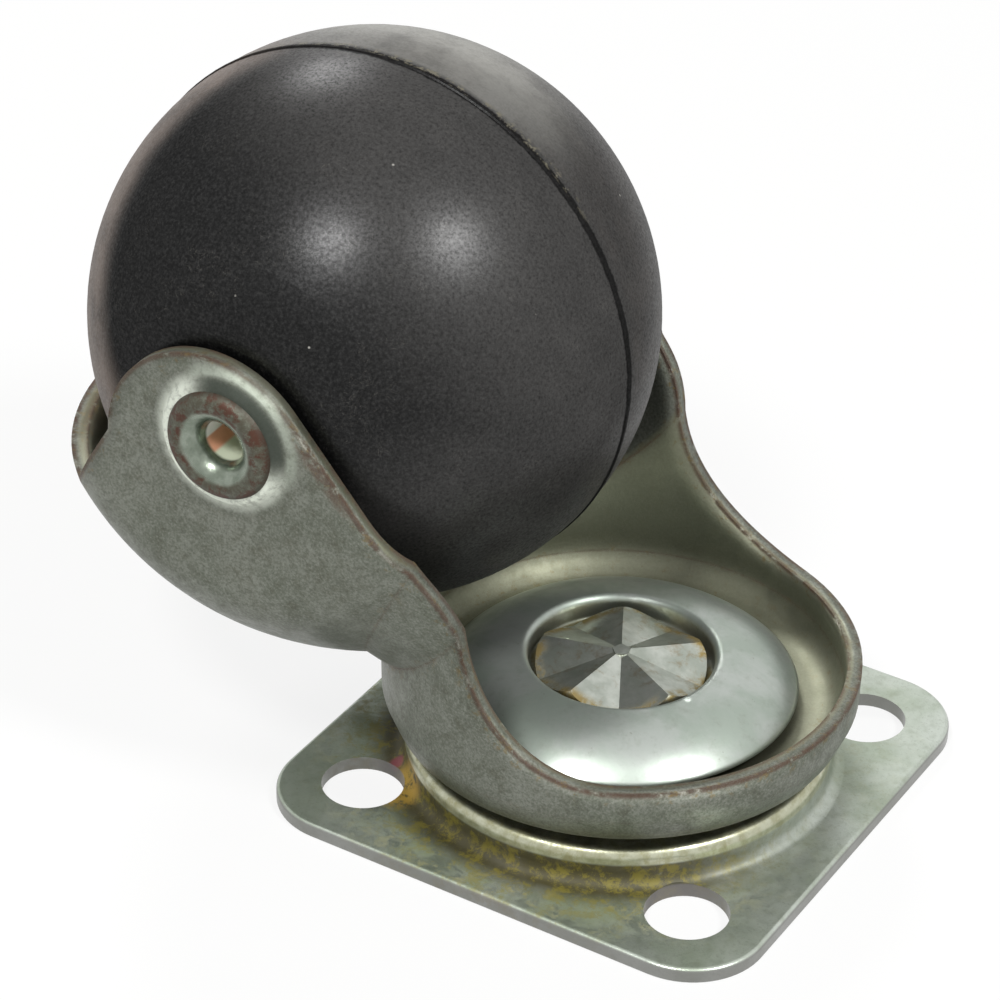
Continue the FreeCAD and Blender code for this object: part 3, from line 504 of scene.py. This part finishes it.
def pale_ground():
    """White to the eye and in reflections, with the castor's shadow kept on it."""
    g = Graph("pale_ground")
    path = g.add("ShaderNodeLightPath")
    seen = g.either(path.outputs["Is Camera Ray"], path.outputs["Is Glossy Ray"])
    seen = g.either(seen, path.outputs["Is Transmission Ray"])
    matt = g.add("ShaderNodeBsdfDiffuse")
    g.feed(matt.inputs["Color"], colour(232, 232, 230))
    white = g.add("ShaderNodeEmission")
    g.feed(white.inputs["Color"], WHITE)
    g.feed(white.inputs["Strength"], 1.0)
    return g.surface(g.blend(g.share(seen, FLOOR_WHITE), matt, white))


def dress(node, material):
    mesh = frame["nodes"][node].data
    mesh.materials.clear()
    mesh.materials.append(material)


def bearing(azimuth, elevation):
    """Unit vector towards a bearing and a height, as the shared frame counts them."""
    a, e = math.radians(azimuth), math.radians(elevation)
    return Vector((math.sin(a) * math.cos(e), -math.cos(a) * math.cos(e), math.sin(e)))


def lay_floor():
    bpy.ops.mesh.primitive_plane_add(size=FLOOR_SIDE, location=(0, 0, -FLOOR_DROP))
    floor = bpy.context.object
    floor.name = "floor"
    floor.data.materials.append(pale_ground())


def light_sky():
    """Even white all round, which the eye and reflections see at full strength."""
    world = bpy.data.worlds.new("sky")
    bpy.context.scene.world = world
    world.use_nodes = True
    tree = world.node_tree
    tree.nodes.clear()
    path = tree.nodes.new("ShaderNodeLightPath")
    seen = path.outputs["Is Camera Ray"]
    for ray in ("Is Glossy Ray", "Is Transmission Ray"):
        larger = tree.nodes.new("ShaderNodeMath")
        larger.operation = "MAXIMUM"
        tree.links.new(seen, larger.inputs[0])
        tree.links.new(path.outputs[ray], larger.inputs[1])
        seen = larger.outputs[0]
    level = tree.nodes.new("ShaderNodeMapRange")
    level.inputs["To Min"].default_value = SKY_FILL
    level.inputs["To Max"].default_value = 1.0
    tree.links.new(seen, level.inputs["Value"])
    sky = tree.nodes.new("ShaderNodeBackground")
    sky.inputs["Color"].default_value = WHITE
    tree.links.new(level.outputs[0], sky.inputs["Strength"])
    output = tree.nodes.new("ShaderNodeOutputWorld")
    tree.links.new(sky.outputs[0], output.inputs["Surface"])


def hang_lamps():
    middle = Vector(VIEW_TARGET) * MM
    for number, (azimuth, elevation, radius, power) in enumerate(LAMPS):
        lamp = bpy.data.lights.new(f"lamp_{number}", "AREA")
        lamp.shape = "DISK"
        lamp.size = 2 * radius
        lamp.energy = power
        towards = bearing(azimuth, elevation)
        holder = bpy.data.objects.new(f"lamp_{number}", lamp)
        holder.location = middle + towards * LAMP_DISTANCE
        holder.rotation_mode = "QUATERNION"
        holder.rotation_quaternion = towards.to_track_quat("Z", "Y")
        bpy.context.scene.collection.objects.link(holder)


def set_camera():
    back = bearing(VIEW_AZIMUTH, VIEW_ELEVATION)
    azimuth = math.radians(VIEW_AZIMUTH)
    level = Vector((math.cos(azimuth), math.sin(azimuth), 0))
    upright = back.cross(level)
    roll = math.radians(VIEW_ROLL)
    right = level * math.cos(roll) + upright * math.sin(roll)
    up = upright * math.cos(roll) - level * math.sin(roll)
    camera = bpy.data.cameras.new("camera")
    camera.lens = VIEW_LENS
    camera.sensor_width = SENSOR_WIDTH
    camera.clip_start = CLIP_START
    camera.clip_end = CLIP_END
    holder = bpy.data.objects.new("camera", camera)
    turn = Matrix((right, up, back)).transposed().to_4x4()
    place = (Vector(VIEW_TARGET) + back * VIEW_DISTANCE) * MM
    holder.matrix_world = Matrix.Translation(place) @ turn
    bpy.context.scene.collection.objects.link(holder)
    bpy.context.scene.camera = holder


dress("top_plate", plate_zinc())
dress("king_rivet", rivet_steel())
dress("race_cap", cap_steel())
dress("fork", fork_zinc())
dress("axle_tube", axle_steel())
dress("rubber_ball", black_rubber())
bearing_steel = plain_steel("bearing_steel", colour(140, 140, 136))
dress("lower_race_balls", bearing_steel)
dress("upper_race_balls", bearing_steel)
dress("hub_bush", plain_steel("bush_steel", colour(120, 118, 108)))

lay_floor()
light_sky()
hang_lamps()
set_camera()
bpy.context.scene.view_settings.view_transform = "Standard"
